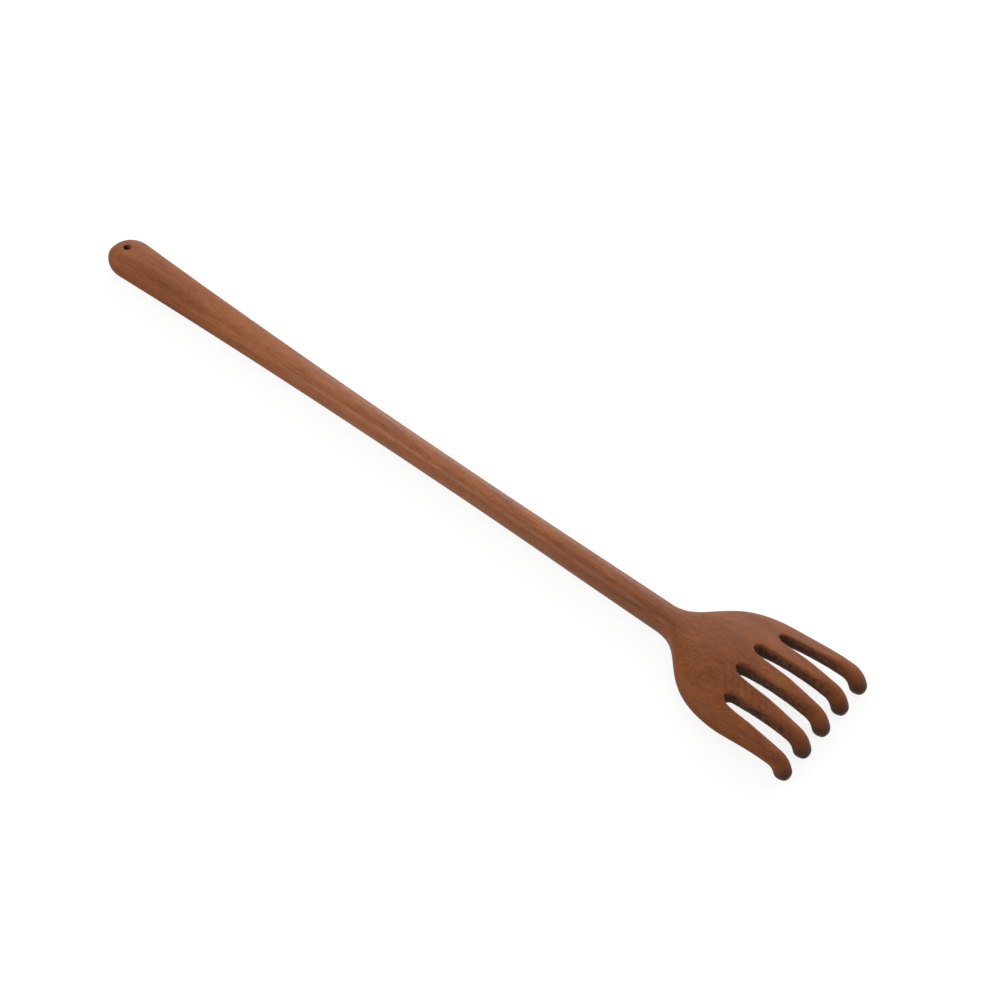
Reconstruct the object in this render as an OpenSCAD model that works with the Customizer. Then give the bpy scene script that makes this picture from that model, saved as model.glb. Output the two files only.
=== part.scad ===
// Back scratcher: a carved hardwood claw head dowelled to a long tapering handle.
// Lengths are millimetres and angles are degrees. X runs from the grip to the fingertips,
// Z is up, and the origin lies under the middle of the length, on the surface it rests on.

/* [Handle] */
// Length from the rounded grip end to the joint at the neck
handle_len = 355; // [280:1:420]
// Width of the grip
grip_w = 23; // [18:0.1:30]
// Thickness of the grip
grip_t = 14.2; // [12:0.1:20]
// Length of the rounded grip end
grip_round = 13; // [6:0.1:20]
// Distance from the grip end to the narrowest place of the shaft
waist_at = 250; // [120:1:270]
// Width of the shaft at its narrowest place
waist_w = 12.6; // [10:0.1:20]
// Thickness of the shaft at its narrowest place
waist_t = 12.5; // [10:0.1:18]
// Width of the neck at the joint
neck_w = 13.7; // [12:0.1:20]
// Thickness of the neck at the joint
neck_t = 13.4; // [11:0.1:18]
// Fullness of the oval section, where 2 is an ellipse
oval_power = 2.7; // [2:0.1:4]

/* [Hanging hole] */
// Diameter of the hanging hole
hole_d = 4; // [2:0.1:6]
// Distance from the grip end to the middle of the hole
hole_at = 9.5; // [7:0.5:30]

/* [Neck joint] */
// Diameter of the dowel
dowel_d = 6; // [4:0.1:8]
// Length of the dowel, half of it in each socket
dowel_len = 30; // [16:1:40]
// Clearance between the dowel and its sockets, on the diameter
dowel_fit = 0.1; // [0.05:0.05:0.4]
// Glue space left at the bottom of each socket
glue_space = 1; // [0.5:0.1:3]
// Chamfer on the dowel's ends
dowel_chamfer = 0.8; // [0.3:0.1:1.5]
// Number of glue flutes around the dowel
flute_count = 16; // [8:1:20]
// Depth of each glue flute
flute_depth = 0.3; // [0.1:0.05:0.4]

/* [Palm] */
// Length of the curve that lifts the palm above the handle
rise_len = 26; // [15:0.5:35]
// Turn of that curve
rise_turn = 13; // [4:0.5:25]
// Length of the arched palm
palm_len = 38.5; // [28:0.5:60]
// Turn of the arched palm
palm_turn = 15; // [6:0.5:35]
// Distance along the palm from the joint to the shoulders
shoulder_at = 59; // [48:0.5:70]
// Width across the shoulders
shoulder_w = 72.8; // [50:0.2:90]
// Length of the hollow curve from the neck into the flare
flare_start = 21; // [5:0.5:25]
// Length of the full curve from the flare into the shoulders
flare_end = 42.5; // [20:0.5:48]
// Thickness of the palm along its middle
palm_t = 13.3; // [9:0.1:18]
// Thickness of the palm towards its sides
palm_side_t = 10.6; // [8:0.1:16]
// Reach of the palm's rounded side edges
palm_edge = 9.5; // [4:0.1:14]
// Drop of the palm's sides below its middle
palm_crown = 6.8; // [0:0.1:8]

/* [Fingers] */
// Number of fingers
finger_count = 5; // [4:1:7]
// Length of the gently curved finger
finger_len = 20; // [10:0.5:30]
// Turn of the gently curved finger
finger_turn = 12; // [4:0.5:30]
// Length of the knuckle bend
knuckle_len = 6.8; // [4:0.1:15]
// Turn of the knuckle bend
knuckle_turn = 44; // [10:0.5:60]
// Length of the tip beyond the knuckle
tip_len = 7.5; // [4:0.1:12]
// Turn of the tip beyond the knuckle
tip_turn = 13; // [4:0.5:30]
// Length of each rounded fingertip
tip_round = 4.4; // [2:0.1:6]
// Width across the fingertips
spread_w = 72.8; // [55:0.2:95]
// Thickness of the middle finger at its root
finger_t = 8.5; // [6:0.1:12]
// Thickness of the outermost fingers at their roots
finger_side_t = 8.2; // [6:0.1:12]
// Thickness of a finger where its knuckle starts
knuckle_t = 8.4; // [6:0.1:12]
// Thickness of a fingertip
tip_t = 8.4; // [6:0.1:12]
// Reach of a finger's rounded edges near its tip
finger_edge = 4.8; // [2:0.1:6]

/* [Slots] */
// Width of a slot at its root
slot_root_w = 4.7; // [4.4:0.1:7]
// Width of a slot from the knuckles on
slot_tip_w = 8.4; // [5:0.1:10]
// Distance along the palm from the joint to the roots of the inner slots
inner_root_at = 47; // [38:0.5:60]
// Distance along the palm from the joint to the roots of the two outer slots
outer_root_at = 51.5; // [38:0.5:64]
// Power of a slot's widening along the fingers, where 1 is straight and less widens sooner
slot_flare = 0.7; // [0.6:0.05:1]
// Reach of the slots' crisp edges on the back of the claw
slot_edge = 1.6; // [1:0.1:5]
// Reach of the slots' rounded edges on the inside of the claw
inside_edge = 4.6; // [1:0.1:6]

/* [Hidden] */

// Steps of the surfaces
end_rings = 8;
shaft_rings = 22;
ring_sides = 40;
palm_rows = 16;
root_rows = 4;
finger_rows = 13;
tip_rows = 6;
finger_cols = 8;
flare_steps = 40;
slope_step = 0.1;
round_fn = 48;
cut_margin = 1;

// Arcs of the head's middle line, each a length and a turn
arcs = [
    [rise_len, rise_turn],
    [palm_len, -palm_turn],
    [finger_len, -finger_turn],
    [knuckle_len, -knuckle_turn],
    [tip_len, -tip_turn],
];
head_len = rise_len + palm_len + finger_len + knuckle_len + tip_len;
finger_at = rise_len + palm_len;
knuckle_at = finger_at + finger_len;
tip_at = head_len - tip_round;
root_r = slot_root_w / 2;

function limit(u) = min(max(u, 0), 1);

function smooth(u) = let (c = limit(u)) c * c * (3 - 2 * c);

// Value at a place between the stations of a table, eased in and out of each station
function eased(place, table, i = 0) =
    i == len(table) - 2 || place < table[i + 1][0]
    ? let (a = table[i], b = table[i + 1])
      a[1] + (b[1] - a[1]) * smooth((place - a[0]) / (b[0] - a[0]))
    : eased(place, table, i + 1);

// Share of the full height at a distance from an edge that is rounded over a reach
function rounded(distance, reach) =
    pow(1 - pow(1 - limit(distance / reach), oval_power), 1 / oval_power);

function bezier(c, t) =
    c[0] * pow(1 - t, 3) + 3 * c[1] * t * pow(1 - t, 2) + 3 * c[2] * t * t * (1 - t) + c[3] * pow(t, 3);

// Numbers in rising order, each once
function sorted(v) =
    len(v) < 2 ? v
    : let (pivot = v[floor(len(v) / 2)])
      [each sorted([for (x = v) if (x < pivot) x]), pivot, each sorted([for (x = v) if (x > pivot) x])];

// Point of an arc as [x, z, slope], from the point where the arc starts
function arc_point(start, arc, run) =
    let (slope = start[2] + arc[1] * run / arc[0], r = arc[0] / (arc[1] * PI / 180))
    [start[0] + r * (sin(slope) - sin(start[2])), start[1] - r * (cos(slope) - cos(start[2])), slope];

function arc_start(i) = i == 0 ? [0, 0, 0] : arc_point(arc_start(i - 1), arcs[i - 1], arcs[i - 1][0]);

function arc_place(i) = i == 0 ? 0 : arc_place(i - 1) + arcs[i - 1][0];

arc_starts = [for (i = [0:len(arcs) - 1]) arc_start(i)];
arc_places = [for (i = [0:len(arcs) - 1]) arc_place(i)];

function arc_index(s, i = 0) = i == len(arcs) - 1 || s < arc_places[i + 1] ? i : arc_index(s, i + 1);

// Middle line of the head at a distance from the joint
function middle(s) = let (i = arc_index(s)) arc_point(arc_starts[i], arcs[i], s - arc_places[i]);

// Outline of the head
flare_s = [0, flare_start, shoulder_at - flare_end, shoulder_at];
flare_w = [neck_w, neck_w, shoulder_w, shoulder_w] / 2;
flare = [for (i = [0:flare_steps]) [bezier(flare_s, i / flare_steps), bezier(flare_w, i / flare_steps)]];

function half_width(s) =
    s < shoulder_at ? lookup(s, flare)
    : (shoulder_w + (spread_w - shoulder_w) * smooth((s - shoulder_at) / (head_len - shoulder_at))) / 2;

// Cosine of the outline's angle to the middle line
function outline_cos(s) =
    let (widening = half_width(s + slope_step) - half_width(s - slope_step))
    2 * slope_step / norm([2 * slope_step, widening]);

// Slots between the fingers, which widen to the knuckles
function slot_root(k) = k == 0 || k == finger_count - 2 ? outer_root_at : inner_root_at;

function slot_half(k, s) =
    let (start = slot_root(k) + root_r, u = limit((s - start) / (knuckle_at - start)))
    (slot_root_w + (slot_tip_w - slot_root_w) * pow(u, slot_flare)) / 2;

function slot_middle(k, s) =
    let (r = max(s, slot_root(k)), step = (half_width(r) + slot_half(k, r)) / finger_count)
    (2 * k - finger_count + 2) * step * half_width(s) / half_width(r);

function slot_open(k, s) =
    let (u = (slot_root(k) + root_r - s) / root_r)
    u >= 1 ? 0 : u > 0 ? root_r * sqrt(1 - u * u) : slot_half(k, s);

function slot_distance(k, s, y) =
    let (start = slot_root(k) + root_r, across = y - slot_middle(k, s))
    max(0, s < start ? norm([start - s, across]) - root_r : abs(across) - slot_half(k, s));

function slot_share(s, y, reach, k = 0) =
    k == finger_count - 1 ? 1 : rounded(slot_distance(k, s, y), reach) * slot_share(s, y, reach, k + 1);

// Half thickness at the middle and the sides, edge reaches and crown along the head
middle_heights = [
    [0, neck_t / 2],
    [rise_len, palm_t / 2],
    [finger_at, finger_t / 2],
    [knuckle_at, knuckle_t / 2],
    [tip_at, tip_t / 2],
];
side_heights = [
    [0, neck_t / 2],
    [rise_len, palm_side_t / 2],
    [finger_at, finger_side_t / 2],
    [knuckle_at, knuckle_t / 2],
    [tip_at, tip_t / 2],
];
side_reaches = [[0, neck_w / 2], [rise_len, palm_edge], [finger_at, finger_edge]];
back_reaches = [[0, slot_edge], [finger_at, slot_edge], [knuckle_at, finger_edge]];
inside_reaches = [[0, inside_edge], [finger_at, inside_edge], [knuckle_at, finger_edge]];
crowns = [[0, 0], [rise_len, palm_crown], [outer_root_at, palm_crown], [head_len, 0]];

// Rows of the head, from the joint to the fingertips
first_root = min(inner_root_at, outer_root_at);
fingers_from = max(inner_root_at, outer_root_at) + root_r;
rows = sorted([
    for (i = [0:palm_rows - 1]) first_root * i / palm_rows,
    for (root = [inner_root_at, outer_root_at], i = [0:root_rows])
        root + root_r * (1 - cos(90 * i / root_rows)),
    for (i = [1:finger_rows]) fingers_from + (tip_at - fingers_from) * i / finger_rows,
    for (i = [1:tip_rows]) tip_at + tip_round * sin(90 * i / tip_rows),
]);
last_row = len(rows) - 1;
across_shares = [for (j = [0:finger_cols]) -cos(180 * j / finger_cols)];

// Two points, on the back and on the inside of the claw, for each column of one finger's strip in one row
function strip_points(s, f) =
    let (
        m = middle(s),
        w = half_width(s),
        left = f == 0 ? -w : slot_middle(f - 1, s) + slot_open(f - 1, s),
        right = f == finger_count - 1 ? w : slot_middle(f, s) - slot_open(f, s),
        tip_share = sqrt(max(0, 1 - pow(limit((s - tip_at) / tip_round), 2))),
        middle_height = eased(s, middle_heights),
        side_height = eased(s, side_heights),
        side_reach = eased(s, side_reaches) / outline_cos(s),
        back_reach = eased(s, back_reaches),
        inside_reach = eased(s, inside_reaches),
        crown = eased(s, crowns)
    )
    [
        for (q = across_shares)
        let (
            y = (left + right) / 2 + q * (right - left) / 2,
            y_tip = (left + right) / 2 + q * (right - left) / 2 * tip_share,
            sideways = pow(2 * y / shoulder_w, 2),
            height = middle_height + (side_height - middle_height) * limit(sideways),
            full = height * tip_share * rounded(w - abs(y), side_reach),
            drop = crown * sideways
        )
        for (n = [full * slot_share(s, y, back_reach), -full * slot_share(s, y, inside_reach)])
        [m[0] - n * sin(m[2]), y_tip, m[1] + n * cos(m[2]) - drop]
    ];

head_points = [for (s = rows, f = [0:finger_count - 1]) each strip_points(s, f)];

// Where the part stands in the frame
axis_z = max(grip_t / 2, -min([for (p = head_points) p[2]]));
grip_x = -(handle_len + max([for (p = head_points) p[0]])) / 2;
neck_x = grip_x + handle_len;

// Index of a head point, where points that fall together share one index
function on_edge(i, f, j) =
    j == 0 && (f == 0 || rows[i] >= slot_root(f - 1))
    || j == finger_cols && (f == finger_count - 1 || rows[i] >= slot_root(f));

function head_index(i, f, j, side) =
    i == last_row ? raw_index(i, f, 0, 0)
    : j == finger_cols && f < finger_count - 1 && rows[i] <= slot_root(f) ? head_index(i, f + 1, 0, side)
    : raw_index(i, f, j, on_edge(i, f, j) ? 0 : side);

function raw_index(i, f, j, side) = ((i * finger_count + f) * (finger_cols + 1) + j) * 2 + side;

function is_face(t) = t[0] != t[1] && t[1] != t[2] && t[2] != t[0];

head_faces = [
    for (i = [0:last_row - 1], f = [0:finger_count - 1], j = [0:finger_cols - 1], side = [0, 1])
    let (
        a = head_index(i, f, j, side),
        b = head_index(i + 1, f, j, side),
        c = head_index(i + 1, f, j + 1, side),
        d = head_index(i, f, j + 1, side)
    )
    for (t = side == 0 ? [[a, c, b], [a, d, c]] : [[a, b, c], [a, c, d]]) if (is_face(t)) t
];

joint_face = [
    for (f = [finger_count - 1:-1:0], j = [finger_cols:-1:1]) head_index(0, f, j, 0),
    for (f = [0:finger_count - 1], j = [0:finger_cols - 1]) head_index(0, f, j, 1),
];

// Rings of the handle, from the grip end to the joint
function taper(x, grip, waist, neck) =
    x > waist_at
    ? waist + (neck - waist) * smooth((x - waist_at) / (handle_len - waist_at))
    : waist + (grip - waist) * pow(limit((waist_at - x) / (waist_at - grip_round)), 2);

ring_places = [
    for (i = [1:end_rings]) grip_round * (1 - cos(90 * i / end_rings)),
    for (i = [1:shaft_rings]) grip_round + (handle_len - grip_round) * i / shaft_rings,
];

function oval(half, value) = half * sign(value) * pow(abs(value), 2 / oval_power);

function ring_points(x) =
    let (
        end_share = sqrt(1 - pow(limit(1 - x / grip_round), 2)),
        half_w = taper(x, grip_w, waist_w, neck_w) / 2 * end_share,
        half_t = taper(x, grip_t, waist_t, neck_t) / 2 * end_share
    )
    [
        for (i = [0:ring_sides - 1])
        let (a = 360 * i / ring_sides)
        [x, oval(half_w, cos(a)), oval(half_t, sin(a))]
    ];

handle_points = [[0, 0, 0], for (x = ring_places) each ring_points(x)];

function ring_index(ring, i) = 1 + ring * ring_sides + i % ring_sides;

handle_faces = [
    for (i = [0:ring_sides - 1]) [0, ring_index(0, i + 1), ring_index(0, i)],
    for (ring = [0:len(ring_places) - 2], i = [0:ring_sides - 1])
    let (
        a = ring_index(ring, i),
        b = ring_index(ring, i + 1),
        c = ring_index(ring + 1, i + 1),
        d = ring_index(ring + 1, i)
    )
    each [[a, b, c], [a, c, d]],
    [for (i = [0:ring_sides - 1]) ring_index(len(ring_places) - 1, i)],
];

// Blind sockets for both halves of the dowel
module dowel_sockets() {
    translate([neck_x, 0, axis_z])
        rotate([0, 90, 0])
            cylinder(
                d = dowel_d + dowel_fit,
                h = dowel_len + 2 * glue_space,
                center = true,
                $fn = round_fn
            );
}

module handle() {
    color("sienna")
        difference() {
            translate([grip_x, 0, axis_z])
                polyhedron(handle_points, handle_faces);
            translate([grip_x + hole_at, 0, axis_z])
                cylinder(d = hole_d, h = grip_t + 2 * cut_margin, center = true, $fn = round_fn);
            dowel_sockets();
        }
}

module claw_head() {
    color("saddlebrown")
        difference() {
            translate([neck_x, 0, axis_z])
                polyhedron(head_points, [each head_faces, joint_face]);
            dowel_sockets();
        }
}

module glue_flutes() {
    for (i = [0:flute_count - 1])
        rotate(360 * i / flute_count)
            translate([dowel_d / 2, 0, 0])
                cylinder(r = flute_depth, h = dowel_len + cut_margin, center = true, $fn = round_fn);
}

module neck_dowel() {
    color("burlywood")
        translate([neck_x, 0, axis_z])
            rotate([0, 90, 0])
                difference() {
                    rotate_extrude($fn = round_fn)
                        polygon([
                            [0, -dowel_len / 2],
                            [dowel_d / 2 - dowel_chamfer, -dowel_len / 2],
                            [dowel_d / 2, -dowel_len / 2 + dowel_chamfer],
                            [dowel_d / 2, dowel_len / 2 - dowel_chamfer],
                            [dowel_d / 2 - dowel_chamfer, dowel_len / 2],
                            [0, dowel_len / 2],
                        ]);
                    glue_flutes();
                }
}

handle();
claw_head();
neck_dowel();
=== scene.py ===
"""Looks of a carved hardwood back scratcher: a long oval handle and a claw of five curled fingers.

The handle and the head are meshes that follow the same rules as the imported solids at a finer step.
Sizes are metres, X runs from the grip to the fingertips, and Z is up.
"""

import math
from types import SimpleNamespace

import bmesh
import bpy
import numpy as np
from mathutils import Matrix, Vector, noise


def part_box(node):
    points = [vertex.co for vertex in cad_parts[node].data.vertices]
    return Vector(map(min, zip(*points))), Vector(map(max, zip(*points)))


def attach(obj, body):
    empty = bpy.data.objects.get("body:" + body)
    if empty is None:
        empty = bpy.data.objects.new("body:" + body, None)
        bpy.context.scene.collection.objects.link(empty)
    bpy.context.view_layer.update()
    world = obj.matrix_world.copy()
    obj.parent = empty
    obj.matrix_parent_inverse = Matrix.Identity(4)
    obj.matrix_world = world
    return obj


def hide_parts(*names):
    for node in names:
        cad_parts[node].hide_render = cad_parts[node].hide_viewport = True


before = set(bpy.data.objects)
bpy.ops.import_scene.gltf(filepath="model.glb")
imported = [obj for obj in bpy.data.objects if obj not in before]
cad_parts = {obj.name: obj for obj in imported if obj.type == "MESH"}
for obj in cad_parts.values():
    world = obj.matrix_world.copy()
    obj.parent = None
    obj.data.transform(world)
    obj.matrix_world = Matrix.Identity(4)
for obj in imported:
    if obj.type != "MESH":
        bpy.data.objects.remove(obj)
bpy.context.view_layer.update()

MM = 0.001
TURN = math.tau

# Handle
GRIP_W = 23 * MM
GRIP_T = 14.2 * MM
GRIP_ROUND = 13 * MM
WAIST_AT = 250 * MM
WAIST_W = 12.6 * MM
WAIST_T = 12.5 * MM
NECK_W = 13.7 * MM
NECK_T = 13.4 * MM
OVAL_POWER = 2.7

# Hanging hole, with a softened rim
HOLE_D = 4 * MM
HOLE_AT = 9.5 * MM
HOLE_RIM = 0.3 * MM

# Dowel socket in each half of the neck joint
SOCKET_D = 6.1 * MM
SOCKET_DEPTH = 16 * MM

# Palm
RISE_LEN, RISE_TURN = 26 * MM, math.radians(13)
PALM_LEN, PALM_TURN = 38.5 * MM, math.radians(15)
SHOULDER_AT = 59 * MM
SHOULDER_W = 72.8 * MM
FLARE_START = 21 * MM
FLARE_END = 42.5 * MM
PALM_T = 13.3 * MM
PALM_SIDE_T = 10.6 * MM
PALM_EDGE = 9.5 * MM
PALM_CROWN = 6.8 * MM

# Fingers
FINGER_COUNT = 5
FINGER_LEN, FINGER_TURN = 20 * MM, math.radians(12)
KNUCKLE_LEN, KNUCKLE_TURN = 6.8 * MM, math.radians(44)
TIP_LEN, TIP_TURN = 7.5 * MM, math.radians(13)
TIP_ROUND = 4.4 * MM
SPREAD_W = 72.8 * MM
FINGER_T = 8.5 * MM
FINGER_SIDE_T = 8.2 * MM
KNUCKLE_T = 8.4 * MM
TIP_T = 8.4 * MM
FINGER_EDGE = 4.8 * MM

# Slots between the fingers
SLOT_ROOT_W = 4.7 * MM
SLOT_TIP_W = 8.4 * MM
INNER_ROOT_AT = 47 * MM
OUTER_ROOT_AT = 51.5 * MM
SLOT_FLARE = 0.7
SLOT_EDGE = 1.6 * MM
INSIDE_EDGE = 4.6 * MM

# Slot walls, by the share of the finger's full height, and how much of them is sanded past the knuckles
WALL_TOP = 0.97
WALL_EASE = 0.35
WALL_SANDED = 0.75

# Chisel marks on the slot walls and soft flats along the shaft
GOUGE_DEPTH = 0.22 * MM
GOUGE_LEN = 1.7 * MM
GOUGE_ACROSS = 3 * GOUGE_LEN
GOUGE_HIGH = 1.6 * GOUGE_LEN
FLAT_DEPTH = 0.1 * MM
FLAT_LEN = 28 * MM

# Steps of the surfaces
RING_SIDES = 96
RING_STEP = 2 * MM
END_RINGS = 24
RIM_STEPS = 8
ROW_STEP = 0.9 * MM
ROW_GAP = ROW_STEP / 3
ROOT_ROWS = 10
TIP_ROWS = 12
FINGER_COLS = 28
FLARE_STEPS = 80
ROUND_SIDES = 64
SLOPE_STEP = 0.1 * MM
WELD = 0.5e-6
SHARP_ANGLE = math.radians(50)

# Places along the head, from the joint
HEAD_ARCS = (
    (RISE_LEN, RISE_TURN),
    (PALM_LEN, -PALM_TURN),
    (FINGER_LEN, -FINGER_TURN),
    (KNUCKLE_LEN, -KNUCKLE_TURN),
    (TIP_LEN, -TIP_TURN),
)
HEAD_LEN = sum(length for length, turn in HEAD_ARCS)
FINGER_AT = RISE_LEN + PALM_LEN
KNUCKLE_AT = FINGER_AT + FINGER_LEN
TIP_AT = HEAD_LEN - TIP_ROUND
ROOT_R = SLOT_ROOT_W / 2
SLOT_ROOTS = (OUTER_ROOT_AT,) + (INNER_ROOT_AT,) * (FINGER_COUNT - 3) + (OUTER_ROOT_AT,)

# Ends of the handle and height of its axis, from the frame
handle_low, handle_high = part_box("handle")
dowel_low, dowel_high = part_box("neck_dowel")
GRIP_X = handle_low.x
NECK_X = handle_high.x
HANDLE_LEN = NECK_X - GRIP_X
AXIS_Z = (dowel_low.z + dowel_high.z) / 2

# Camera, found by laying the model's silhouette over the photograph
LENS_MM = 85
SENSOR_MM = 36
CLIP_START = 50 * MM
VIEW_AZIMUTH = math.radians(-59.9)
VIEW_ELEVATION = math.radians(48.82)
VIEW_ROLL = math.radians(10.31)
VIEW_DISTANCE = 1149.2 * MM
VIEW_TARGET = Vector((GRIP_X + 253.95 * MM, 3.7 * MM, AXIS_Z))


def limit(u):
    return np.clip(u, 0, 1)


def smooth(u):
    c = limit(u)
    return c * c * (3 - 2 * c)


def eased(place, stations):
    """Value between the stations of a list of places and values, eased in and out of each one."""
    value = np.full_like(place, stations[0][1])
    for (start, before), (end, after) in zip(stations[:-1], stations[1:]):
        share = smooth((place - start) / (end - start))
        value = np.where(place >= start, before + (after - before) * share, value)
    return value


def rounded(distance, reach):
    """Share of the full height at a distance from an edge that is rounded over a reach."""
    return (1 - (1 - limit(distance / reach)) ** OVAL_POWER) ** (1 / OVAL_POWER)


def bezier(c, t):
    """Places on a cubic curve of four control values."""
    return c[0] * (1 - t) ** 3 + 3 * c[1] * t * (1 - t) ** 2 + 3 * c[2] * t * t * (1 - t) + c[3] * t**3


def noise_levels(*coordinates):
    """Noise from 0 to 1 at the places that three arrays of coordinates give."""
    places = np.stack(np.broadcast_arrays(*coordinates), -1)
    levels = [0.5 + 0.5 * noise.noise(Vector(place)) for place in places.reshape(-1, 3)]
    return np.array(levels).reshape(places.shape[:-1])


def middle_line(s):
    """X, Z and slope of the head's middle line at distances from the joint."""
    x, z, slope = (np.zeros_like(s) for _ in range(3))
    start_x = start_z = start_slope = place = 0.0
    for length, turn in HEAD_ARCS:
        radius = length / turn
        inside = s >= place
        angle = start_slope + np.minimum(s - place, length) / radius
        x = np.where(inside, start_x + radius * (np.sin(angle) - math.sin(start_slope)), x)
        z = np.where(inside, start_z - radius * (np.cos(angle) - math.cos(start_slope)), z)
        slope = np.where(inside, angle, slope)
        end_slope = start_slope + turn
        start_x += radius * (math.sin(end_slope) - math.sin(start_slope))
        start_z -= radius * (math.cos(end_slope) - math.cos(start_slope))
        start_slope = end_slope
        place += length
    return x, z, slope


FLARE_T = np.linspace(0, 1, FLARE_STEPS)
FLARE_S = bezier((0, FLARE_START, SHOULDER_AT - FLARE_END, SHOULDER_AT), FLARE_T)
FLARE_W = bezier((NECK_W / 2, NECK_W / 2, SHOULDER_W / 2, SHOULDER_W / 2), FLARE_T)


def half_width(s):
    """Half width of the head's outline at distances from the joint."""
    spread = smooth((s - SHOULDER_AT) / (HEAD_LEN - SHOULDER_AT))
    beyond = (SHOULDER_W + (SPREAD_W - SHOULDER_W) * spread) / 2
    return np.where(s < SHOULDER_AT, np.interp(s, FLARE_S, FLARE_W), beyond)


def outline_cos(s):
    """Cosine of the outline's angle to the middle line."""
    widening = half_width(s + SLOPE_STEP) - half_width(s - SLOPE_STEP)
    return 2 * SLOPE_STEP / np.hypot(2 * SLOPE_STEP, widening)


def slot_half(k, s):
    """Half width of a slot past its root, which widens up to the knuckles."""
    start = SLOT_ROOTS[k] + ROOT_R
    widening = limit((s - start) / (KNUCKLE_AT - start)) ** SLOT_FLARE
    return (SLOT_ROOT_W + (SLOT_TIP_W - SLOT_ROOT_W) * widening) / 2


def slot_middle(k, s):
    """Y of a slot's middle, spaced so that the fingers are equally wide from the knuckles on."""
    r = np.maximum(s, SLOT_ROOTS[k])
    step = (half_width(r) + slot_half(k, r)) / FINGER_COUNT
    return (2 * k - FINGER_COUNT + 2) * step * half_width(s) / half_width(r)


def slot_open(k, s):
    """Half width of a slot, which starts as a half circle at its root."""
    u = (SLOT_ROOTS[k] + ROOT_R - s) / ROOT_R
    circle = ROOT_R * np.sqrt(1 - limit(u) ** 2)
    return np.where(u >= 1, 0, np.where(u > 0, circle, slot_half(k, s)))


def slot_distance(k, s, y):
    """Distance of places from a slot's edge, and 0 inside the slot."""
    start = SLOT_ROOTS[k] + ROOT_R
    across = y - slot_middle(k, s)
    at_root = np.hypot(start - s, across) - ROOT_R
    return np.maximum(0, np.where(s < start, at_root, np.abs(across) - slot_half(k, s)))


MIDDLE_HEIGHTS = (
    (0, NECK_T / 2),
    (RISE_LEN, PALM_T / 2),
    (FINGER_AT, FINGER_T / 2),
    (KNUCKLE_AT, KNUCKLE_T / 2),
    (TIP_AT, TIP_T / 2),
)
SIDE_HEIGHTS = (
    (0, NECK_T / 2),
    (RISE_LEN, PALM_SIDE_T / 2),
    (FINGER_AT, FINGER_SIDE_T / 2),
    (KNUCKLE_AT, KNUCKLE_T / 2),
    (TIP_AT, TIP_T / 2),
)
SIDE_REACHES = ((0, NECK_W / 2), (RISE_LEN, PALM_EDGE), (FINGER_AT, FINGER_EDGE))
BACK_REACHES = ((0, SLOT_EDGE), (FINGER_AT, SLOT_EDGE), (KNUCKLE_AT, FINGER_EDGE))
INSIDE_REACHES = ((0, INSIDE_EDGE), (FINGER_AT, INSIDE_EDGE), (KNUCKLE_AT, FINGER_EDGE))
CROWNS = ((0, 0), (RISE_LEN, PALM_CROWN), (OUTER_ROOT_AT, PALM_CROWN), (HEAD_LEN, 0))


def head_rows():
    """Distances of the head's rows from the joint, closer at the slot roots and the fingertips."""
    quarter = np.linspace(0, TURN / 4, ROOT_ROWS)
    roots = [root + ROOT_R * (1 - np.cos(quarter)) for root in (INNER_ROOT_AT, OUTER_ROOT_AT)]
    plain = np.arange(0, TIP_AT, ROW_STEP)
    for root in (INNER_ROOT_AT, OUTER_ROOT_AT):
        plain = plain[(plain < root - ROW_GAP) | (plain > root + ROOT_R + ROW_GAP)]
    tips = TIP_AT + TIP_ROUND * np.sin(np.linspace(0, TURN / 4, TIP_ROWS))
    return np.unique(np.concatenate([plain, *roots, tips]))


def column_shares(s, f):
    """Places of a finger's columns from -1 to 1, drawn towards each edge that is rounded over."""
    v = np.linspace(-1, 1, FINGER_COLS + 1)

    def power(edge):
        if edge in (-1, FINGER_COUNT - 1):
            return np.full_like(s, OVAL_POWER)
        return 1 + (OVAL_POWER - 1) * smooth((s - SLOT_ROOTS[edge]) / SLOT_ROOT_W)

    left = -(1 - (1 - limit(-v)) ** power(f - 1)[:, None])
    right = 1 - (1 - limit(v)) ** power(f)[:, None]
    return np.where(v < 0, left, right)


def gouges(s, y, height):
    """Depth of the chisel marks on a slot wall, from 0 to 1."""
    return noise_levels(s / GOUGE_LEN, y / GOUGE_ACROSS, height / GOUGE_HIGH)


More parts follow.
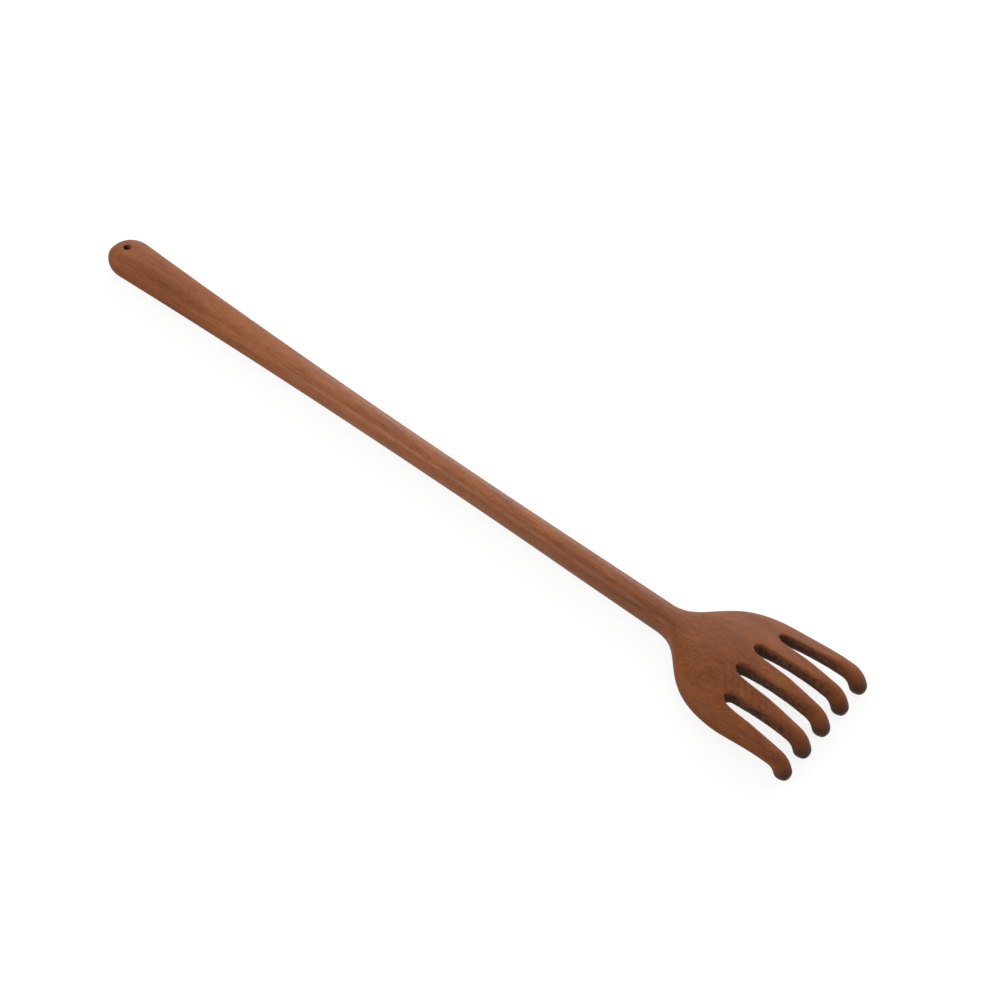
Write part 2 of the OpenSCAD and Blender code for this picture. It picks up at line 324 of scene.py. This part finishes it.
def strip_points(s, f):
    """Points of one finger's strip on the claw's back and inside, and how far each is a slot wall."""
    x, z, slope = (value[:, None] for value in middle_line(s))
    width = half_width(s)
    left = -width if f == 0 else slot_middle(f - 1, s) + slot_open(f - 1, s)
    right = width if f == FINGER_COUNT - 1 else slot_middle(f, s) - slot_open(f, s)
    tip_share = np.sqrt(1 - limit((s - TIP_AT) / TIP_ROUND) ** 2)[:, None]
    middle_height = eased(s, MIDDLE_HEIGHTS)[:, None]
    side_height = eased(s, SIDE_HEIGHTS)[:, None]
    side_reach = (eased(s, SIDE_REACHES) / outline_cos(s))[:, None]
    shares = column_shares(s, f)
    centre = ((left + right) / 2)[:, None]
    half = ((right - left) / 2)[:, None]
    y = centre + shares * half
    sideways = (2 * y / SHOULDER_W) ** 2
    height = middle_height + (side_height - middle_height) * limit(sideways)
    full = height * tip_share * rounded(width[:, None] - np.abs(y), side_reach)
    drop = eased(s, CROWNS)[:, None] * sideways
    tooled = 1 - WALL_SANDED * smooth((s - KNUCKLE_AT + KNUCKLE_LEN) / (2 * KNUCKLE_LEN))[:, None]
    sheets = []
    for side, reaches in ((1, BACK_REACHES), (-1, INSIDE_REACHES)):
        reach = eased(s, reaches)[:, None]
        slot_share = np.ones_like(y)
        for k in range(FINGER_COUNT - 1):
            slot_share = slot_share * rounded(slot_distance(k, s[:, None], y), reach)
        wall = smooth((WALL_TOP - slot_share) / WALL_EASE) * tooled
        n = side * full * slot_share
        mark = gouges(s[:, None], y, n) * wall * GOUGE_DEPTH * tip_share
        y_tip = centre + shares * half * tip_share - np.sign(shares) * mark
        sheet = np.stack([x - n * np.sin(slope), y_tip, z + n * np.cos(slope) - drop], -1)
        sheets.append((sheet, wall))
    return sheets


def grid_faces(rows, cols, first, flip):
    """Quads of a grid of rows and columns whose vertices start at an index."""
    faces = []
    for i in range(rows - 1):
        for j in range(cols - 1):
            a = first + i * cols + j
            face = (a, a + cols, a + cols + 1, a + 1)
            faces.append(face[::-1] if flip else face)
    return faces


def add_object(name, data):
    """New object in the scene."""
    made = bpy.data.objects.new(name, data)
    bpy.context.scene.collection.objects.link(made)
    return made


def shade_smooth(mesh):
    """Smooth shading that keeps the sharp edges."""
    mesh.polygons.foreach_set("use_smooth", [True] * len(mesh.polygons))
    mesh.set_sharp_from_angle(angle=SHARP_ANGLE)


def solid_object(name, bm):
    """New object from a built mesh, which is freed."""
    mesh = bpy.data.meshes.new(name)
    bm.to_mesh(mesh)
    bm.free()
    shade_smooth(mesh)
    return add_object(name, mesh)


def add_socket(bm, direction):
    """Closes the open ring at the joint with a flat face that has a blind socket in its middle."""
    rim = [edge for edge in bm.edges if edge.is_boundary]
    rings = []
    for x in (NECK_X, NECK_X + direction * SOCKET_DEPTH):
        ring = []
        for i in range(ROUND_SIDES):
            angle = TURN * i / ROUND_SIDES
            across = SOCKET_D / 2 * math.cos(angle)
            up = SOCKET_D / 2 * math.sin(angle)
            ring.append(bm.verts.new((x, across, AXIS_Z + up)))
        rings.append(ring)
    mouth, bottom = rings
    for i in range(ROUND_SIDES):
        after = (i + 1) % ROUND_SIDES
        bm.faces.new((mouth[i], mouth[after], bottom[after], bottom[i]))
    bm.faces.new(bottom)
    inner = [bm.edges.get((mouth[i], mouth[i - 1])) for i in range(ROUND_SIDES)]
    bmesh.ops.triangle_fill(bm, edges=rim + inner, use_beauty=True)
    bmesh.ops.recalc_face_normals(bm, faces=bm.faces[:])


def make_head():
    """Palm and fingers, with the share of slot wall and of fingertip kept at each vertex."""
    rows = head_rows()
    low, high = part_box("claw_head")
    bm = bmesh.new()
    carved = bm.verts.layers.float.new("carved")
    tip = bm.verts.layers.float.new("tip")
    towards_tip = smooth((rows - KNUCKLE_AT - KNUCKLE_LEN / 2) / KNUCKLE_LEN)
    for f in range(FINGER_COUNT):
        for (sheet, wall), flip in zip(strip_points(rows, f), (False, True)):
            first = len(bm.verts)
            placed = np.clip(sheet + (NECK_X, 0, AXIS_Z), low, high)
            for row, walls, share in zip(placed, wall, towards_tip):
                for point, amount in zip(row, walls):
                    vert = bm.verts.new(point)
                    vert[carved] = amount
                    vert[tip] = share
            bm.verts.ensure_lookup_table()
            for face in grid_faces(len(rows), FINGER_COLS + 1, first, flip):
                bm.faces.new([bm.verts[i] for i in face])
    bmesh.ops.remove_doubles(bm, verts=bm.verts[:], dist=WELD)
    add_socket(bm, 1)
    return solid_object("carved_head", bm)


def taper(x, grip, waist, neck):
    """Size along the handle that goes from the grip's to the waist's and on to the neck's."""
    to_neck = waist + (neck - waist) * smooth((x - WAIST_AT) / (HANDLE_LEN - WAIST_AT))
    to_grip = waist + (grip - waist) * limit((WAIST_AT - x) / (WAIST_AT - GRIP_ROUND)) ** 2
    return np.where(x > WAIST_AT, to_neck, to_grip)


def oval(half, value):
    """Coordinate on an oval of a half size, from the cosine or sine of an angle."""
    return half * np.sign(value) * np.abs(value) ** (2 / OVAL_POWER)


def handle_halves(x):
    """Half width and half thickness of the handle at distances from the grip end."""
    end_share = np.sqrt(1 - limit(1 - x / GRIP_ROUND) ** 2) / 2
    return taper(x, GRIP_W, WAIST_W, NECK_W) * end_share, taper(x, GRIP_T, WAIST_T, NECK_T) * end_share


def make_handle():
    """Grip and shaft as rings of ovals, closed by a pole at the grip end and the socket at the neck."""
    quarter = np.linspace(0, TURN / 4, END_RINGS + 1)[1:]
    ends = GRIP_ROUND * (1 - np.cos(quarter))
    shaft = np.linspace(GRIP_ROUND, HANDLE_LEN, round((HANDLE_LEN - GRIP_ROUND) / RING_STEP))[1:]
    x = np.concatenate([ends, shaft])
    half_w, half_t = (half[:, None] for half in handle_halves(x))
    angle = np.linspace(0, TURN, RING_SIDES, endpoint=False)
    y = oval(half_w, np.cos(angle))
    z = oval(half_t, np.sin(angle))
    fade = (smooth((x - GRIP_ROUND) / FLAT_LEN) * smooth((HANDLE_LEN - x) / FLAT_LEN))[:, None]
    wave = noise_levels(x[:, None] / FLAT_LEN, y / WAIST_W, z / WAIST_W)
    inward = 1 - FLAT_DEPTH * wave * fade / np.hypot(y, z)
    bm = bmesh.new()
    rings = []
    for i, place in enumerate(x):
        ring = []
        for j in range(RING_SIDES):
            across, up = y[i, j] * inward[i, j], z[i, j] * inward[i, j]
            ring.append(bm.verts.new((GRIP_X + place, across, AXIS_Z + up)))
        rings.append(ring)
    pole = bm.verts.new((GRIP_X, 0, AXIS_Z))
    for j in range(RING_SIDES):
        after = (j + 1) % RING_SIDES
        bm.faces.new((pole, rings[0][after], rings[0][j]))
        for ring, outer in zip(rings[:-1], rings[1:]):
            bm.faces.new((ring[j], ring[after], outer[after], outer[j]))
    add_socket(bm, -1)
    return solid_object("carved_handle", bm)


def hole_cutter():
    """Solid of the hanging hole: a cylinder that flares in a quarter round at both faces."""
    face = float(handle_halves(HOLE_AT)[1])
    profile = [(0, 2 * face), (HOLE_D / 2 + HOLE_RIM, 2 * face)]
    for angle in np.linspace(0, TURN / 4, RIM_STEPS):
        radius = HOLE_D / 2 + HOLE_RIM * (1 - math.sin(angle))
        profile.append((radius, face - HOLE_RIM * (1 - math.cos(angle))))
    profile += [(radius, -height) for radius, height in reversed(profile)]
    bm = bmesh.new()
    verts = [bm.verts.new((radius, 0, height)) for radius, height in profile]
    edges = [bm.edges.new(pair) for pair in zip(verts[:-1], verts[1:])]
    bmesh.ops.spin(
        bm,
        geom=verts + edges,
        axis=(0, 0, 1),
        cent=(0, 0, 0),
        angle=TURN,
        steps=ROUND_SIDES,
        use_merge=True,
    )
    bmesh.ops.remove_doubles(bm, verts=bm.verts[:], dist=WELD)
    bmesh.ops.recalc_face_normals(bm, faces=bm.faces[:])
    bmesh.ops.translate(bm, verts=bm.verts[:], vec=(GRIP_X + HOLE_AT, 0, AXIS_Z))
    return solid_object("hole_cutter", bm)


def cut(piece, cutter):
    """Takes a cutter's solid out of a piece and removes the cutter."""
    modifier = piece.modifiers.new("cut", "BOOLEAN")
    modifier.operation = "DIFFERENCE"
    modifier.solver = "EXACT"
    modifier.object = cutter
    bpy.context.view_layer.update()
    evaluated = piece.evaluated_get(bpy.context.evaluated_depsgraph_get())
    piece.data = bpy.data.meshes.new_from_object(evaluated)
    piece.modifiers.clear()
    bpy.data.objects.remove(cutter)
    shade_smooth(piece.data)


def new_material(name):
    """New material with its node tree and its shader."""
    material = bpy.data.materials.new(name)
    material.use_nodes = True
    return material, material.node_tree, material.node_tree.nodes["Principled BSDF"]


def add_node(tree, kind, inputs=None, **settings):
    """New shader node with its settings and its inputs, each a value or a socket to link from."""
    made = tree.nodes.new(kind)
    for name, value in settings.items():
        setattr(made, name, value)
    for key, value in (inputs or {}).items():
        if isinstance(value, bpy.types.NodeSocket):
            tree.links.new(value, made.inputs[key])
        else:
            made.inputs[key].default_value = value
    return made


def math_node(tree, operation, *values):
    return add_node(tree, "ShaderNodeMath", dict(enumerate(values)), operation=operation).outputs[0]


def product(tree, first, *others):
    for other in others:
        first = math_node(tree, "MULTIPLY", first, other)
    return first


def away_from(tree, value, middle):
    """How far a value is from a middle one, on either side."""
    return math_node(tree, "ABSOLUTE", math_node(tree, "SUBTRACT", value, middle))


def remap(tree, value, low, high, to_low=0.0, to_high=1.0):
    """Value between two limits, eased from one level to another."""
    inputs = {"Value": value, "From Min": low, "From Max": high, "To Min": to_low, "To Max": to_high}
    return add_node(tree, "ShaderNodeMapRange", inputs, interpolation_type="SMOOTHSTEP").outputs["Result"]


# Colour sockets of the mix node, which has others of the same names
MIX_A, MIX_B, MIX_RESULT = 6, 7, 2


def mix_colour(tree, factor, a, b, blend="MIX"):
    """First colour blended with the second by a factor."""
    inputs = {"Factor": factor, MIX_A: a, MIX_B: b}
    return add_node(tree, "ShaderNodeMix", inputs, data_type="RGBA", blend_type=blend).outputs[MIX_RESULT]


def vertex_value(tree, name):
    """Number that the mesh keeps at each vertex under a name."""
    return add_node(tree, "ShaderNodeAttribute", attribute_name=name).outputs["Fac"]


def bumped(tree, depth, relief):
    """Normal of a surface with a relief of a given depth."""
    inputs = {"Strength": BUMP_STRENGTH, "Distance": depth, "Height": relief}
    return add_node(tree, "ShaderNodeBump", inputs).outputs["Normal"]


def srgb(red, green, blue):
    """Linear colour of 8-bit display values."""
    def linear(value):
        share = value / 255
        return share / 12.92 if share <= 0.04045 else ((share + 0.055) / 1.055) ** 2.4

    return (linear(red), linear(green), linear(blue), 1)


# Patterns: sizes in millimetres along, across and through the grain, then the noise's detail and roughness
PATTERNS = {
    "wander": ((45, 14, 8), 2, 0.5),
    "mottle": ((80, 22, 3.5), 3, 0.5),
    "streak": ((26, 4, 0.9), 3, 0.6),
    "fibre": ((8, 0.6, 0.45), 2, 0.6),
    "pore": ((4, 0.25, 0.25), 1, 0.5),
    "patch": ((30, 16, 1.5), 2, 0.5),
    "speckle": ((2.2, 1.3, 1.3), 5, 0.75),
    "beech_streak": ((20, 0.8, 0.8), 3, 0.5),
    "beech_fleck": ((1.6, 0.22, 0.22), 1, 0.5),
}

# Levels of the noise between which each pattern comes in
WANDER_LEVELS = (0.2, 0.8)
TONE_LEVELS = (0.25, 0.75)
STREAK_LEVELS = (0.25, 0.75)
PATCH_LEVELS = (0.35, 0.65)
FIBRE_LEVELS = (0.3, 0.75)
PORE_LEVELS = (0.6, 0.7)
SPECKLE_LEVELS = (0.35, 0.68)
BEECH_STREAK_LEVELS = (0.2, 0.8)
BEECH_FLECK_LEVELS = (0.58, 0.68)

# Growth layers, each with a dark line, which curve around a far axis and climb towards the fingers
LAYER_AXIS_Y = 53 * MM
LAYER_AXIS_Z = -300 * MM
LAYER_SPACING = 0.27 * MM
LAYER_WANDER = 0.2 * MM
LINE_RISE = (0.3, 0.8)
LINE_FALL = (1.0, 0.85)
CLIMB_SLOPE = 0.068
CLIMB_FROM = NECK_X - 150 * MM
CLIMB_EASE = 110 * MM

# Dark vein in the near side of the shaft, through a place near the neck, which climbs across the layers
VEIN_PLACE = (NECK_X - 17 * MM, -6.1 * MM, AXIS_Z + 3.5 * MM)
VEIN_RISE = 0.045
VEIN_START = NECK_X - 36 * MM
VEIN_END = NECK_X + 4 * MM
VEIN_FADE = 12 * MM
VEIN_SIDE = (-2 * MM, -4 * MM)
VEIN_T = 0.4 * MM

# Broad dark streak along the near half of the grip
SHADE_MIDDLE = -6 * MM
SHADE_HALF = 7 * MM
SHADE_START = (GRIP_X + 10 * MM, GRIP_X + 28 * MM)
SHADE_END = (GRIP_X + 85 * MM, GRIP_X + 45 * MM)

# Painted shade on faces turned along the grain towards the fingertips, partly the darker end grain, and its
# share over each fingertip
END_FACING = (0.7, 0.98)
TIP_PAINTED_SHADE = 0.8

# Stretches of the length over which the colour and the finish change
HEAD_TONE = (NECK_X - 150 * MM, NECK_X + 40 * MM)
GRIP_TONE = (GRIP_X + 110 * MM, GRIP_X + 25 * MM)
HEAD_FINISH = (NECK_X - 10 * MM, NECK_X + 25 * MM)
GRIP_FINISH = (GRIP_X + 170 * MM, GRIP_X + 70 * MM)
# Stretch over which the painted shade of the slot walls weakens towards the knuckles
WALL_FADE = (NECK_X + 60 * MM, NECK_X + 86 * MM)

# Strengths of the marks in the wood
SHAFT_LINES, HEAD_LINES = 0.12, 0.24
FIBRE_STRENGTH = 0.38
PORE_STRENGTH = 0.55
VEIN_STRENGTH = 0.8
# Share of the painted wall shade that is left at the knuckles
WALL_SHADE_AT_KNUCKLE = 0.75

# Finish: roughness along the streaks, what is added to it in places, shine and relief
ROUGHNESS = (0.42, 0.52)
WALL_ROUGHER = 0.1
HEAD_ROUGHER = 0.12
TIP_ROUGHER = -0.1
GRIP_ROUGHER = 0.25
SHAFT_SHINE, HEAD_SHINE = 0.35, 0.24
BUMP_STRENGTH = 0.3
WOOD_BUMP = 0.06 * MM
FIBRE_RELIEF = 0.35
WALL_RELIEF = 5.0

# Wood colours, and the painted shade of the slot walls and fingertips
PALE_WOOD = srgb(181, 108, 60)
DEEP_WOOD = srgb(144, 81, 43)
LINE_WOOD = srgb(84, 42, 23)
PORE_WOOD = srgb(46, 23, 14)
# Painted shade in the slot walls, partly rough carved wood, with paler flecks that are partly painted glints
# on chisel facets
WALL_SHADE_DARK = srgb(46, 21, 12)
WALL_FLECK_AND_GLINT = srgb(126, 80, 52)
GRIP_TINT = (0.84, 0.8, 0.73, 1)
SHADE_TINT = (0.8, 0.72, 0.62, 1)
HEAD_TINT = (0.735, 0.66, 0.49, 1)
# Painted shade on the fingertips and on faces turned towards them, partly the darker end grain
END_GRAIN_AND_SHADE_TINT = (0.14, 0.14, 0.135, 1)

# Beech of the dowel
BEECH_DEEP = srgb(206, 170, 126)
BEECH_PALE = srgb(226, 196, 154)
BEECH_FLECK = srgb(150, 104, 66)
BEECH_FLECK_STRENGTH = 0.6
BEECH_ROUGHNESS = (0.55, 0.7)
BEECH_BUMP = 0.05 * MM


def pattern(tree, vector, kind):
    """Noise of one of the patterns, stretched to its sizes."""
    sizes, detail, roughness = PATTERNS[kind]
    scale = tuple(1 / (size * MM) for size in sizes)
    scaled = add_node(tree, "ShaderNodeVectorMath", {0: vector, 1: scale}, operation="MULTIPLY")
    inputs = {"Vector": scaled.outputs[0], "Scale": 1.0, "Detail": detail, "Roughness": roughness}
    return add_node(tree, "ShaderNodeTexNoise", inputs).outputs["Fac"]


def layer_height(x, y, z):
    """Height of a place through the growth layers, beyond the ease into their climb."""
    return math.hypot(y - LAYER_AXIS_Y, z - (x - CLIMB_FROM) * CLIMB_SLOPE - LAYER_AXIS_Z)


def grain_space(tree):
    """Places along the grain, across it, and as heights through its growth layers."""
    place = add_node(tree, "ShaderNodeTexCoord").outputs["Object"]
    split = add_node(tree, "ShaderNodeSeparateXYZ", {"Vector": place})
    x, y, z = (split.outputs[name] for name in "XYZ")
    run = math_node(tree, "SMOOTH_MAX", math_node(tree, "SUBTRACT", x, CLIMB_FROM), 0.0, CLIMB_EASE)
    level = math_node(tree, "SUBTRACT", z, product(tree, run, CLIMB_SLOPE))
    side = math_node(tree, "SUBTRACT", y, LAYER_AXIS_Y)
    above = math_node(tree, "SUBTRACT", level, LAYER_AXIS_Z)
    spoke = add_node(tree, "ShaderNodeCombineXYZ", {"Y": side, "Z": above}).outputs[0]
    height = add_node(tree, "ShaderNodeVectorMath", {0: spoke}, operation="LENGTH").outputs["Value"]
    grain = add_node(tree, "ShaderNodeCombineXYZ", {"X": x, "Y": y, "Z": height}).outputs[0]
    return x, y, height, grain


def growth_lines(tree, height, grain):
    """1 in the dark line of each growth layer, and 0 elsewhere."""
    wander = remap(tree, pattern(tree, grain, "wander"), *WANDER_LEVELS, -LAYER_WANDER, LAYER_WANDER)
    layers = math_node(tree, "DIVIDE", math_node(tree, "ADD", height, wander), LAYER_SPACING)
    share = math_node(tree, "FRACT", layers)
    return product(tree, remap(tree, share, *LINE_RISE), remap(tree, share, *LINE_FALL))


def wood_places(tree):
    """The wood's places, patterns and carved parts, each as a socket."""
    x, y, height, grain = grain_space(tree)
    return SimpleNamespace(
        x=x,
        y=y,
        height=height,
        line=growth_lines(tree, height, grain),
        mottle=pattern(tree, grain, "mottle"),
        streak=pattern(tree, grain, "streak"),
        fibre=pattern(tree, grain, "fibre"),
        pore=remap(tree, pattern(tree, grain, "pore"), *PORE_LEVELS),
        patch=remap(tree, pattern(tree, grain, "patch"), *PATCH_LEVELS),
        speckle=pattern(tree, grain, "speckle"),
        carved=vertex_value(tree, "carved"),
        tip=vertex_value(tree, "tip"),
        on_head=remap(tree, x, *HEAD_FINISH),
        on_grip=remap(tree, x, *GRIP_FINISH),
    )


def dark_vein(tree, wood):
    """1 in a thin sheet of the shaft's near side, fading out at both ends, and 0 elsewhere."""
    climb = product(tree, math_node(tree, "SUBTRACT", wood.x, VEIN_PLACE[0]), VEIN_RISE)
    level = math_node(tree, "SUBTRACT", wood.height, climb)
    thin = remap(tree, away_from(tree, level, layer_height(*VEIN_PLACE)), VEIN_T, 0)
    starts = remap(tree, wood.x, VEIN_START, VEIN_START + VEIN_FADE)
    ends = remap(tree, wood.x, VEIN_END, VEIN_END - VEIN_FADE)
    near = remap(tree, wood.y, *VEIN_SIDE)
    return product(tree, thin, near, starts, ends)


def grip_shade(tree, wood):
    """1 in the dark streak of the grip, fading out to its sides and ends, and 0 elsewhere."""
    across = remap(tree, away_from(tree, wood.y, SHADE_MIDDLE), SHADE_HALF, 0)
    return product(tree, across, remap(tree, wood.x, *SHADE_START), remap(tree, wood.x, *SHADE_END))


def end_grain_and_tip_shade(tree, wood):
    """Painted shade, partly darker end grain: 1 where the surface faces along +X across the grain, nearly 1
    on the fingertips, and 0 along the grain.
    """
    normal = add_node(tree, "ShaderNodeTexCoord").outputs["Normal"]
    along = add_node(tree, "ShaderNodeSeparateXYZ", {"Vector": normal}).outputs["X"]
    facing = remap(tree, along, *END_FACING)
    return math_node(tree, "MAXIMUM", facing, product(tree, wood.tip, TIP_PAINTED_SHADE))


def wood_colour(tree, wood):
    """Broad tones with finer marks over them, tinted along the length, with painted shade on the fingertips
    and the slot walls.
    """
    tone = product(tree, math_node(tree, "ADD", wood.mottle, wood.streak), 0.5)
    colour = mix_colour(tree, remap(tree, tone, *TONE_LEVELS), DEEP_WOOD, PALE_WOOD)
    to_head = remap(tree, wood.x, *HEAD_TONE)
    line_strength = product(tree, remap(tree, to_head, 0, 1, SHAFT_LINES, HEAD_LINES), wood.patch)
    marks = (
        (product(tree, wood.line, line_strength), LINE_WOOD),
        (remap(tree, wood.fibre, *FIBRE_LEVELS, 0.0, FIBRE_STRENGTH), LINE_WOOD),
        (product(tree, wood.pore, PORE_STRENGTH), PORE_WOOD),
        (product(tree, dark_vein(tree, wood), VEIN_STRENGTH), LINE_WOOD),
    )
    for share, mark in marks:
        colour = mix_colour(tree, share, colour, mark)
    tints = (
        (remap(tree, wood.x, *GRIP_TONE), GRIP_TINT),
        (grip_shade(tree, wood), SHADE_TINT),
        (to_head, HEAD_TINT),
        # Painted shade on the fingertips, partly the darker end grain
        (end_grain_and_tip_shade(tree, wood), END_GRAIN_AND_SHADE_TINT),
    )
    for share, tint in tints:
        colour = mix_colour(tree, share, colour, tint, "MULTIPLY")
    # Painted shade on the slot walls, with paler flecks that are partly painted glints on chisel facets
    wall = mix_colour(tree, remap(tree, wood.speckle, *SPECKLE_LEVELS), WALL_SHADE_DARK, WALL_FLECK_AND_GLINT)
    painted_wall_strength = remap(tree, wood.x, *WALL_FADE, 1.0, WALL_SHADE_AT_KNUCKLE)
    return mix_colour(tree, product(tree, wood.carved, painted_wall_strength), colour, wall)


def wood_roughness(tree, wood):
    """Roughness that follows the streaks and changes on the walls, the head, the tips and the grip."""
    roughness = remap(tree, wood.streak, *STREAK_LEVELS, *ROUGHNESS)
    changes = (
        (wood.carved, WALL_ROUGHER),
        (wood.on_head, HEAD_ROUGHER),
        (wood.tip, TIP_ROUGHER),
        (wood.on_grip, GRIP_ROUGHER),
    )
    for share, amount in changes:
        roughness = math_node(tree, "ADD", roughness, product(tree, share, amount))
    return roughness


def wood_relief(tree, wood):
    """Height of the raised fibres, the open pores and the rough slot walls."""
    relief = math_node(tree, "SUBTRACT", product(tree, wood.fibre, FIBRE_RELIEF), wood.pore)
    return math_node(tree, "ADD", relief, product(tree, wood.speckle, wood.carved, WALL_RELIEF))


def wood_material(name):
    """Oiled hardwood with fine growth lines, streaks and pores, and painted shade on the fingertips and slot
    walls.
    """
    material, tree, shader = new_material(name)
    wood = wood_places(tree)
    tree.links.new(wood_colour(tree, wood), shader.inputs["Base Color"])
    tree.links.new(wood_roughness(tree, wood), shader.inputs["Roughness"])
    tree.links.new(bumped(tree, WOOD_BUMP, wood_relief(tree, wood)), shader.inputs["Normal"])
    shine = remap(tree, wood.on_head, 0, 1, SHAFT_SHINE, HEAD_SHINE)
    tree.links.new(shine, shader.inputs["Specular IOR Level"])
    return material


def beech_material():
    """Bare pale beech with short flecks along the dowel."""
    material, tree, shader = new_material("beech")
    place = add_node(tree, "ShaderNodeTexCoord").outputs["Object"]
    streak = pattern(tree, place, "beech_streak")
    fleck = remap(tree, pattern(tree, place, "beech_fleck"), *BEECH_FLECK_LEVELS)
    colour = mix_colour(tree, streak, BEECH_DEEP, BEECH_PALE)
    colour = mix_colour(tree, product(tree, fleck, BEECH_FLECK_STRENGTH), colour, BEECH_FLECK)
    tree.links.new(colour, shader.inputs["Base Color"])
    roughness = remap(tree, streak, *BEECH_STREAK_LEVELS, *BEECH_ROUGHNESS)
    tree.links.new(roughness, shader.inputs["Roughness"])
    tree.links.new(bumped(tree, BEECH_BUMP, streak), shader.inputs["Normal"])
    return material


# Floor and light of the studio
FLOOR_SIZE = 40.0
FLOOR_COLOUR = (0.22, 0.22, 0.22, 1)
FLOOR_ROUGHNESS = 0.9
FLOOR_GLOW = 0.85
WORLD_LIGHT = 0.5
WHITE = (1, 1, 1, 1)


def seen_directly(tree):
    """1 for camera, glossy and transmission rays, and 0 for the rays that light things."""
    rays = add_node(tree, "ShaderNodeLightPath").outputs
    mirrored = math_node(tree, "MAXIMUM", rays["Is Glossy Ray"], rays["Is Transmission Ray"])
    return math_node(tree, "MAXIMUM", rays["Is Camera Ray"], mirrored)


def make_floor():
    """Plain grey floor that glows up to white where it is seen, and keeps the object's shadow."""
    half = FLOOR_SIZE / 2
    corners = [(-half, -half, 0), (half, -half, 0), (half, half, 0), (-half, half, 0)]
    mesh = bpy.data.meshes.new("floor")
    mesh.from_pydata(corners, [], [(0, 1, 2, 3)])
    floor = add_object("floor", mesh)
    material, tree, shader = new_material("white_floor")
    shader.inputs["Base Color"].default_value = FLOOR_COLOUR
    shader.inputs["Roughness"].default_value = FLOOR_ROUGHNESS
    shader.inputs["Specular IOR Level"].default_value = 0.0
    shader.inputs["Emission Color"].default_value = WHITE
    tree.links.new(product(tree, seen_directly(tree), FLOOR_GLOW), shader.inputs["Emission Strength"])
    mesh.materials.append(material)


def make_world():
    """Even white light from all around."""
    world = bpy.data.worlds.new("studio")
    bpy.context.scene.world = world
    world.use_nodes = True
    background = world.node_tree.nodes["Background"]
    background.inputs["Color"].default_value = WHITE
    background.inputs["Strength"].default_value = WORLD_LIGHT


def towards(azimuth, elevation):
    """Unit vector at an azimuth from +X and an elevation above the floor."""
    level = math.cos(elevation)
    return Vector((level * math.cos(azimuth), level * math.sin(azimuth), math.sin(elevation)))


def make_lamp(name, azimuth, elevation, away, width, height, watts):
    """Soft light panel that faces the camera's target, at angles in degrees."""
    lamp = bpy.data.lights.new(name, "AREA")
    lamp.shape = "RECTANGLE"
    lamp.size = width
    lamp.size_y = height
    lamp.energy = watts
    made = add_object(name, lamp)
    out = towards(math.radians(azimuth), math.radians(elevation))
    made.location = VIEW_TARGET + out * away
    made.rotation_mode = "QUATERNION"
    made.rotation_quaternion = out.to_track_quat("Z", "Y")
    made.visible_camera = False


def make_camera():
    """Camera that sees the object as the photograph does."""
    lens = bpy.data.cameras.new("camera")
    lens.lens = LENS_MM
    lens.sensor_width = SENSOR_MM
    lens.sensor_fit = "HORIZONTAL"
    lens.clip_start = CLIP_START
    made = add_object("camera", lens)
    back = towards(VIEW_AZIMUTH, VIEW_ELEVATION)
    level = Vector((0, 0, 1)).cross(back).normalized()
    upright = back.cross(level)
    right = level * math.cos(VIEW_ROLL) + upright * math.sin(VIEW_ROLL)
    up = upright * math.cos(VIEW_ROLL) - level * math.sin(VIEW_ROLL)
    turned = Matrix((right, up, back)).transposed().to_4x4()
    made.matrix_world = Matrix.Translation(VIEW_TARGET + back * VIEW_DISTANCE) @ turned
    bpy.context.scene.camera = made


def dress(piece, node, material):
    """Gives a piece its material and its place in the frame."""
    piece.data.materials.clear()
    piece.data.materials.append(material)
    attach(piece, "root")
    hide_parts(node)


bpy.context.scene.view_settings.view_transform = "Standard"
make_camera()
make_world()
make_floor()
make_lamp("back_softbox", azimuth=108, elevation=24, away=1.2, width=1.7, height=0.5, watts=12)
make_lamp("front_softbox", azimuth=-120, elevation=30, away=1.4, width=0.4, height=0.4, watts=6.5)
make_lamp("end_softbox", azimuth=45, elevation=18, away=1.2, width=0.2, height=0.2, watts=1.5)

handle = make_handle()
cut(handle, hole_cutter())
head = make_head()
dress(handle, "handle", wood_material("handle_wood"))
dress(head, "claw_head", wood_material("head_wood"))
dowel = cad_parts["neck_dowel"]
dowel.data.materials.clear()
dowel.data.materials.append(beech_material())
